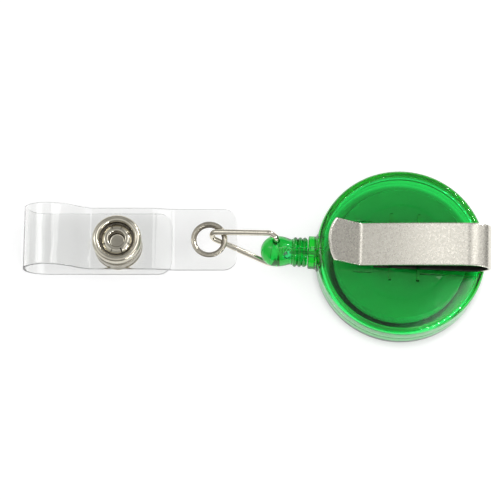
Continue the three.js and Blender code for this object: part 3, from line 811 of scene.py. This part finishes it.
def eased(t):
    t = min(max(t, 0), 1)
    return t * t * (3 - 2 * t)


EXIT = Vector((1.5 - CASE_R, 0, CORD_Z))
OUTER_TURN_R = DRUM_R + SEAT_GAP + 5 * CORD_R
LEAVING = math.pi - math.acos(OUTER_TURN_R / -EXIT.x)
TURNS_HIGH = SPOOL_HIGH - FLANGE - SEAT_GAP - CORD_R
TURNS_LOW = SPOOL_LOW + FLANGE + SEAT_GAP + CORD_R
LAYERS, PER_LAYER = 3, 4


def wound_cord():
    """Turns laid side by side in layers; each steps over to its neighbour near its end."""
    steps = 72
    total = LAYERS * PER_LAYER
    line = []
    for i in range(total * steps + 1):
        turn, part = divmod(i / steps, 1)
        step_over = eased((part - 0.86) / 0.14)
        layer = min(int(turn) // PER_LAYER, LAYERS - 1)
        at = min(int(turn), total - 1) - layer * PER_LAYER
        climbs = at < PER_LAYER - 1
        row = at + (step_over if climbs else 0)
        lift = layer + (step_over if not climbs and layer < LAYERS - 1 else 0)
        share = row / (PER_LAYER - 1)
        if layer % 2:
            share = 1 - share
        radius = DRUM_R + SEAT_GAP + CORD_R + 2 * CORD_R * lift
        angle = LEAVING + 2 * math.pi * (i / steps - total)
        height = TURNS_LOW + (TURNS_HIGH - TURNS_LOW) * share
        line.append(Vector((radius * math.cos(angle), radius * math.sin(angle), height)))
    return tube("wound_cord", line, CORD_R, 8)


def cord_run():
    """From the winding, round the exit's edge and through the collar into the ferrule."""
    leaving = Vector((
        OUTER_TURN_R * math.cos(LEAVING), OUTER_TURN_R * math.sin(LEAVING), TURNS_HIGH))
    knot_x = FERRULE_X - 3.3
    way = (EXIT - leaving).normalized()
    knots = [
        leaving,
        leaving.lerp(EXIT, 0.5) + Vector((0, 0, -0.1)),
        EXIT - way * 0.9,
        EXIT + Vector((-0.75, 0, 0)),
        EXIT + Vector((-1.6, 0, 0)),
        Vector((knot_x, 0, CORD_Z)),
    ]
    line = curve_points(smooth_line(knots, 16), 0.22)
    return tube("cord_run", line, CORD_R * 0.98, 12)


def knot():
    """A small overhand knot."""
    line = []
    count = 90
    for i in range(count + 1):
        angle = 2 * math.pi * i / count
        reach = 2 + math.cos(3 * angle)
        line.append(Vector((
            math.sin(3 * angle) * 1.15,
            reach * math.cos(2 * angle),
            reach * math.sin(2 * angle))) * 0.225)
    x = FERRULE_X - 4.1
    return turned(tube("knot", line, 0.25, 10), Matrix.Translation((x, 0, CORD_Z)))


def place_inside():
    body = finished(spool(), "spool_body", NATURAL, "white_plastic")
    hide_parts("spool")
    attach(body, "spool")
    strip_piece = finished(mainspring(), "mainspring_strip", SPRING, "spring_strip", 60)
    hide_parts("mainspring")
    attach(strip_piece, "case")
    turns = finished(wound_cord(), "wound_cord", CORD_BRAID, "cord")
    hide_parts("cord_winding")
    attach(turns, "spool")
    run = finished(cord_run(), "cord_run", CORD_BRAID, "cord")
    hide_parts("cord_lead")
    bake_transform(run)
    tied = finished(knot(), "knot", CORD_BRAID, "cord")
    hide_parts("cord_knot")
    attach(tied, "cord")


# ------------------------------------------------------------------ ferrule and hook

def radial(tilt, along, reach):
    """A point at a reach from the cord's line, tilted from up towards +Y."""
    angle = math.radians(tilt)
    return Vector((FERRULE_X - along, math.sin(angle) * reach, CORD_Z + math.cos(angle) * reach))


def ferrule():
    """The bulb and its ribbed neck, with room for the knot, the wire's hole and a side hole."""
    outline = [
        Vector((CORD_HOLE_R, 0)), Vector((CORD_HOLE_R + 0.1, -0.13)), Vector((NECK_R, -0.13))]
    ribs, per_rib = 3, 10
    for i in range(ribs * per_rib + 1):
        along = NECK_LENGTH * i / (ribs * per_rib)
        rise = math.sin(math.pi * (i % per_rib) / per_rib) ** 0.7
        outline.append(Vector((NECK_R + RIB * rise, along)))
    outline.append(Vector((2.44, 3.05)))
    steps = 26
    for i in range(steps + 1):
        along = 3.4 + (BULB_TIP - 3.4) * math.sin(i / steps * math.pi / 2)
        reach = 4.7 if along < BULB_AT else BULB_TIP - BULB_AT
        part = (along - BULB_AT) / reach
        outline.append(Vector((BULB_R * math.sqrt(max(1 - part * part, 0)), along)))
    outline[-1].x = 0
    knot_room = [(0, 4.9), (1, 4.9, 0.3), (1, 3, 0.1), (CORD_HOLE_R, 3), (CORD_HOLE_R, 0.2)]
    outline += filleted(knot_room, 5, False)
    body = along_cord(lathe("ferrule", outline, MEDIUM, closed=True), FERRULE_X)
    outside = BULB_R + 1
    cut(body, rod(radial(27, BULB_AT, -outside), radial(27, BULB_AT, outside), 0.72))
    cut(body, rod(radial(-30, 3.7, 0), radial(-30, 3.7, outside), 0.8))
    return body


def hook_wire():
    across = joint_axis("hook_swing")
    normal = joint_axis("eyelet_tilt")
    outward = across.cross(normal)
    to_bend = joint_place("eyelet_tilt") - BULB_MIDDLE
    bend = Vector((to_bend.dot(outward), to_bend.dot(across)))
    bend_r = 1.15
    upper, lower = Vector((1.25, 4.75)), Vector((1.3, -3.75))

    def leg_angle(corner, side):
        way = bend - corner
        return math.atan2(way.y, way.x) + side * math.asin(bend_r / way.length)

    def touch(angle):
        return bend + Vector((math.cos(angle), math.sin(angle))) * bend_r

    start = leg_angle(upper, 1) + math.pi / 2
    end = leg_angle(lower, -1) - math.pi / 2
    if start < end:
        start += 2 * math.pi
    steps = 28
    arc = [touch(start + (end - start) * i / steps) for i in range(steps + 1)]
    head = filleted([(0, 0.6), (0, 3.85, 0.8), (*upper, 1.0), tuple(arc[0])], 8, False)
    tail = filleted([tuple(arc[-1]), (*lower, 0.62), (0, -3.62, 0.62), (0, -0.6)], 8, False)
    flat = curve_points(head[:-1] + arc + tail[1:], 0.16)
    line = [BULB_MIDDLE + outward * p.x + across * p.y for p in flat]
    line, radii = domed(line, WIRE_R)
    return tube("hook", line, WIRE_R, 20, radii)


def place_ferrule():
    body = finished(ferrule(), "ferrule_bulb", GREEN_SHADED, "green_plastic", 40)
    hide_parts("cord_ferrule")
    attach(body, "ferrule")
    wire = finished(hook_wire(), "wire_hook", NICKEL, "nickel", 60)
    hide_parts("hook_wire")
    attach(wire, "hook")


# ------------------------------------------------------------------ eyelet

def with_inside(obj, material, is_inside):
    """Gives a second material to the faces that is_inside picks by radius and height in mm."""
    obj.data.materials.append(material)
    for face in obj.data.polygons:
        if is_inside(math.hypot(face.center.x, face.center.y) / MM, face.center.z / MM):
            face.material_index = 1
    return obj


def place_eyelet():
    barrel = lathe("eyelet", filleted([
        (2.56, -0.56, 0.06),
        (2.74, -0.56, 0.06),
        (2.62, -0.33, 0.05),
        (2.6, 0.3, 0.02),
        (3.46, 0.3, 0.12),
        (3.45, 0.5, 0.16),
        (2.98, 0.6, 0.25),
        (2.72, 0.46, 0.2),
        (2.44, -0.05, 0.3),
        (2.44, -0.4, 0.1),
    ]), FINE, closed=True)
    washer = lathe("washer", filleted([
        (2.86, -0.48, 0.07),
        (3.3, -0.47, 0.08),
        (3.45, -0.38, 0.04),
        (3.4, -0.3, 0.02),
        (2.86, -0.3, 0.02),
    ]), FINE, closed=True)
    for obj, name, node in ((barrel, "eyelet_ring", "eyelet_barrel"),
                            (washer, "eyelet_back_ring", "eyelet_washer")):
        finished(obj, name, NICKEL_DARKER, "nickel")
        # The eyelet's inner barrel gets the nearly black painted shade.
        with_inside(obj, NICKEL_PAINTED_SHADE, lambda r, z: r < 2.6 and z < 0.3)
        turned(obj, Matrix.Translation(EYELET * MM))
        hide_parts(node)
        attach(obj, "eyelet")


# ------------------------------------------------------------------ vinyl strap

def strap_line():
    """The strip's centre line in (x, z): the eyelet's end, over the snap, round the loop."""
    level = [Vector((STRAP_END_X, EYELET.z)), Vector((-42.5, EYELET.z))]
    rise = [Vector((-42.5, EYELET.z)).lerp(Vector((-47.5, SNAP_LAYER_Z)), eased(i / 12))
            for i in range(1, 12)]
    for i, point in enumerate(rise):
        point.x = -42.5 - 5 * (i + 1) / 12
    loop = smooth_line([
        Vector((-58.8, SNAP_LAYER_Z)),
        Vector((-60.5, 5.95)),
        Vector((-62.6, 7.6)),
        Vector((-64.9, 8.8)),
        Vector((-67.4, 9.15)),
        Vector((-69.6, 8.25)),
        Vector((-70.9, 6.7)),
        Vector((-71.25, 4.9)),
        Vector((-70.9, 3.2)),
        Vector((-69.6, 1.8)),
        Vector((-67.4, 1.2)),
        Vector((-65.5, FLAP_Z)),
    ], 8)
    line = level + rise + [Vector((-47.5, SNAP_LAYER_Z))] + loop + [Vector((FLAP_END_X, FLAP_Z))]
    return curve_points(line, 0.3)


def strap():
    line = strap_line()
    lengths = [0.0]
    for a, b in zip(line, line[1:]):
        lengths.append(lengths[-1] + (b - a).length)
    total = lengths[-1]
    columns = 41
    corner_r = 2.6

    def place(i, point, j):
        from_end = min(lengths[i], total - lengths[i])
        short = max(corner_r - from_end, 0)
        half = STRAP_WIDTH / 2 - corner_r + math.sqrt(corner_r ** 2 - short ** 2)
        across = half * (2 * j / (columns - 1) - 1)
        calm = eased((lengths[i] - 22) / 8) * eased((38 - lengths[i]) / 6)
        bent = math.sin(across * 0.8)
        wave = math.sin(point.x * 1.5 + 1.2 * bent) * math.cos(across * 0.35 + 0.6)
        return Vector((point.x, STRAP_Y + across, point.y + RIPPLE * calm * wave))

    body = strip("strap", line, VINYL, columns, place)
    soften(body, 0.08, 2, 60)
    eyelet = TO_STRAP @ EYELET
    for x, y, low, high, radius in (
            (eyelet.x, eyelet.y, 3, 6, 2.8),
            (SNAP.x, SNAP.y, 4, 7, 2.15),
            (SNAP.x, SNAP.y, 0, 3, 1.2)):
        cut(body, rod((x, y, low), (x, y, high), radius))
    return turned(body, FROM_STRAP), total


def place_strap():
    body, length = strap()
    finished(body, "vinyl_strap", VINYL_CLEAR, "clear_vinyl", 40)
    body.data.materials.append(VINYL_EDGE_SHADE)
    # Upright faces outside the loop get the grey tint of painted edge shade.
    for face in body.data.polygons:
        upright = abs(face.normal.z) < 0.5
        if upright and face.center.x > LOOP_FROM_X * MM:
            face.material_index = 1
    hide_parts("strap_upper", "strap_flap")
    way = Vector((-0.05, 0, -1))
    crown = joint_place("snap_open")

    def at(reach):
        """The point on the blend's line where x and z weigh up to reach."""
        return (crown + way * (reach - way.dot(crown)) / way.length_squared) * MM

    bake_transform(body)


# ------------------------------------------------------------------ snap

def petal_stud():
    """The stud: a knob below, and a barrel that is split and flared into petals above."""
    under = SNAP_LAYER_Z - VINYL / 2 - SEAT_GAP
    outline = filleted([
        (0, 2.4),
        (1.5, 2.4, 0.3),
        (1.95, 3, 0.4),
        (1.65, 3.7, 0.3),
        (1.7, 4.2, 0.1),
        (4.25, 4.2, 0.2),
        (4.25, under, 0.2),
        (1.95, under, 0.05),
        (1.95, 6.1, 0.15),
        (2.9, 6.02, 0.04),
        (2.9, 6.12, 0.04),
        (2.3, 6.55, 0.5),
        (1.5, 6.62, 0.35),
        (1.5, 4.5, 0.3),
        (0, 4.5),
    ])
    stud = lathe("stud", outline, FINE)
    petals = 8
    for i in range(petals):
        start = 2.2 + 0.18 * math.sin(5 * i)
        half = 0.1 + 0.04 * math.cos(3 * i)
        slit = block((start, -half, 5.9), (3.2, half, 7.2), 0.03)
        turn = Matrix.Rotation(2 * math.pi * (i + 0.5) / petals, 4, "Z")
        cut(stud, turned(slit, turn))
    return stud


def top_ring():
    bed = SNAP_LAYER_Z + VINYL / 2 + SEAT_GAP
    return lathe("ring", filleted([
        (2.15, bed, 0.1),
        (SNAP_R, bed, 0.35),
        (SNAP_R, bed + 1.5, 0.75),
        (3.3, bed + 1.5, 0.62),
        (3.3, bed + 0.4, 0.15),
        (2.15, bed + 0.4, 0.15),
    ], 10), FINE, closed=True)


def socket():
    bed = FLAP_Z + VINYL / 2 + SEAT_GAP
    return lathe("socket", filleted([
        (1.15, bed, 0.1),
        (4.1, bed, 0.2),
        (4.6, bed + 0.4, 0.3),
        (4.6, 3.6, 0.4),
        (3.4, 3.95, 0.4),
        (2.35, 3.85, 0.2),
        (2.3, 3.3, 0.1),
        (3.1, 3.15, 0.1),
        (3.1, 2.4, 0.1),
        (2.3, 2.3, 0.1),
        (2.3, bed + 0.45, 0.1),
        (1.15, bed + 0.45, 0.1),
    ]), FINE, closed=True)


def under_cap():
    under = FLAP_Z - VINYL / 2 - SEAT_GAP
    return lathe("cap", filleted([
        (0, 0),
        (3.4, 0, 3),
        (SNAP_R, 0.55, 0.3),
        (SNAP_R - 0.1, under, 0.05),
        (0.95, under),
        (0.95, 1.95),
        (1.4, 2.0, 0.05),
        (1.4, 2.25, 0.1),
        (0.6, 2.25, 0.1),
        (0.6, 1.3, 0.2),
        (0, 1.3),
    ]), FINE)


def spring_ring():
    ring = []
    for i in range(24):
        angle = 2 * math.pi * i / 24
        ring.append((2.68 + 0.25 * math.cos(angle), 2.8 + 0.25 * math.sin(angle)))
    return lathe("spring", ring, MEDIUM, closed=True)


def place_snap():
    """The snap's pieces. The last value in a row picks the hollow faces that get the painted shade.
    """
    place = FROM_STRAP @ Matrix.Translation(SNAP * MM)
    for make, name, node, body, material, slot, is_inside in (
            (top_ring, "snap_top_ring", "snap_ring", "strap", NICKEL, "nickel",
             lambda r, z: r < 3.35 and z < 6.3),
            (petal_stud, "snap_stud_body", "snap_stud", "strap", NICKEL, "nickel",
             lambda r, z: 4.6 < z < 6.08 or r < 1.52 and 4.6 < z < 6.4),
            (socket, "snap_socket_body", "snap_socket", "flap", NICKEL_DARKER, "nickel",
             lambda r, z: r < 2.4),
            (spring_ring, "snap_spring_ring", "snap_spring", "flap", SPRING, "spring_strip", None),
            (under_cap, "snap_under_cap", "snap_cap", "flap", NICKEL, "nickel", None)):
        obj = finished(make(), name, material, slot)
        if is_inside:
            with_inside(obj, NICKEL_PAINTED_SHADE, is_inside)
        turned(obj, place)
        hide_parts(node)
        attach(obj, body)


# ------------------------------------------------------------------ stage

FLOOR_SIZE = 3.0
# How strongly the floor glows: painted light that fills its shadows.
FLOOR_GLOW = 0.74
# A black disc of painted shade on the floor under the case.
SHADE_DISC = (-0.6, -0.8)
SHADE_DISC_R = 13.2
LED_RADIUS, LED_HEIGHT = 0.33, 0.2
LED_SIZE = (0.008, 0.05)
LED_RADIANCE = 45
LED_AIM = (0, 0, 0.008)


def distance_from(tree, middle):
    """The distance in metres from a point of the floor given in millimetres."""
    place = tree.nodes.new("ShaderNodeTexCoord")
    node = tree.nodes.new("ShaderNodeVectorMath")
    node.operation = "DISTANCE"
    node.inputs[1].default_value = Vector((*middle, 0)) * MM
    tree.links.new(place.outputs["Object"], node.inputs[0])
    return node.outputs["Value"]


def floor():
    """A floor whose glow is painted light, and a black disc of painted shade under the case, which
    the case hides.
    """
    corners = [(x * FLOOR_SIZE, y * FLOOR_SIZE, 0) for x, y in ((-1, -1), (1, -1), (1, 1), (-1, 1))]
    obj = mesh_object("floor", corners, [(0, 1, 2, 3)])
    obj.location.z = -0.00003
    material, tree, shader = new_material("floor_paper")
    grain = noise(tree, 1200, 3)
    paper = mixed(tree, grain, (0.4, 0.4, 0.4), (0.44, 0.44, 0.44))
    shader.inputs["Roughness"].default_value = 0.8
    shader.inputs["Specular IOR Level"].default_value = 0.1
    shader.inputs["Emission Color"].default_value = (1, 1, 1, 1)
    # Painted light: the floor glows to fill its shadows, with no glow under the case.
    from_axis = distance_from(tree, (0, 0))
    glow = ranged(tree, from_axis, 0, FLOOR_GLOW, SHADE_DISC_R * MM, (CASE_R + 1) * MM)
    tree.links.new(glow, shader.inputs["Emission Strength"])
    # The black disc is painted shade under the case.
    on_shade_disc = ranged(tree, distance_from(tree, SHADE_DISC), 0, 1, (SHADE_DISC_R - 0.5) * MM, SHADE_DISC_R * MM)
    shade_disc = tree.nodes.new("ShaderNodeMix")
    shade_disc.data_type = "RGBA"
    shade_disc.inputs["A"].default_value = (0.01, 0.01, 0.01, 1)
    tree.links.new(on_shade_disc, shade_disc.inputs["Factor"])
    tree.links.new(paper, shade_disc.inputs["B"])
    tree.links.new(shade_disc.outputs["Result"], shader.inputs["Base Color"])
    obj.data.materials.append(material)


def area_light(name, place, aim, size, radiance):
    """A rectangular lamp as bright as radiance, seen from any distance."""
    data = bpy.data.lights.new(name, "AREA")
    data.shape = "RECTANGLE"
    data.size, data.size_y = size
    data.energy = radiance * math.pi * size[0] * size[1]
    obj = bpy.data.objects.new(name, data)
    obj.location = place
    obj.rotation_euler = (Vector(place) - Vector(aim)).to_track_quat("Z", "Y").to_euler()
    scene.collection.objects.link(obj)


def sky():
    """A white tent, darker at its foot, with an opening overhead for the camera."""
    world = bpy.data.worlds.new("tent")
    scene.world = world
    world.use_nodes = True
    tree = world.node_tree
    direction = tree.nodes.new("ShaderNodeTexCoord").outputs["Generated"]

    def towards(way):
        node = tree.nodes.new("ShaderNodeVectorMath")
        node.operation = "DOT_PRODUCT"
        node.inputs[1].default_value = Vector(way).normalized()
        tree.links.new(direction, node.inputs[0])
        return node.outputs["Value"]

    def times(a, b):
        node = tree.nodes.new("ShaderNodeMath")
        node.operation = "MULTIPLY"
        tree.links.new(a, node.inputs[0])
        tree.links.new(b, node.inputs[1])
        return node.outputs["Value"]

    rise = ranged(tree, towards((0, 0, 1)), 0.25, 0.75, 0.1, 0.6)
    along_y = towards((0, 1, 0))
    ends = ranged(tree, times(along_y, along_y), 1, 0.5, 0.12, 0.6)
    opening = ranged(tree, towards((0, 0.27, 0.96)), 1, 0.45, math.cos(math.radians(28)),
                     math.cos(math.radians(16)))
    side = ranged(tree, towards((1, 0, 0)), 1, 0.75, 0.35, 0.8)
    background = tree.nodes["Background"].inputs
    background["Color"].default_value = (1, 1, 1, 1)
    tree.links.new(times(times(times(rise, ends), side), opening), background["Strength"])


def led_bar(first, last, count):
    """A row of small lamps on an arc round the case, from one bearing to another in degrees."""
    for i in range(count):
        turn = math.radians(first + (last - first) * i / (count - 1))
        place = (LED_RADIUS * math.cos(turn), LED_RADIUS * math.sin(turn), LED_HEIGHT)
        area_light("led", place, LED_AIM, LED_SIZE, LED_RADIANCE)


def studio():
    """The tent, three strips that the clip and rings mirror, and two rows that the rim mirrors."""
    sky()
    area_light("near_strip", (-0.0225, 0.042, 0.15), (-0.0225, 0.0, 0.01), (0.021, 0.09), 1.65)
    area_light("bend_strip", (0.14, 0.135, 0.46), (0, 0, 0.01), (0.09, 0.3), 1.7)
    area_light("ring_strip", (-0.42, 0.12, 0.42), (-0.05, 0, 0.01), (0.09, 0.3), 2.0)
    led_bar(-66, -22, 9)
    led_bar(36, 62, 6)
    scene.view_settings.view_transform = "Standard"


def camera():
    azimuth, elevation = math.radians(2.65), math.radians(74.5)
    back = Vector((
        math.sin(azimuth) * math.cos(elevation),
        -math.cos(azimuth) * math.cos(elevation),
        math.sin(elevation)))
    data = bpy.data.cameras.new("camera")
    data.lens = 135
    data.sensor_width = 36
    data.clip_start = 0.01
    obj = bpy.data.objects.new("camera", data)
    obj.location = Vector((-28.47, -0.94, 7.5)) * MM + back * 0.3535
    obj.rotation_euler = back.to_track_quat("Z", "Y").to_euler()
    scene.collection.objects.link(obj)
    scene.camera = obj


camera()
studio()
floor()
place_case()
place_clip()
place_inside()
place_ferrule()
place_eyelet()
place_snap()
place_strap()
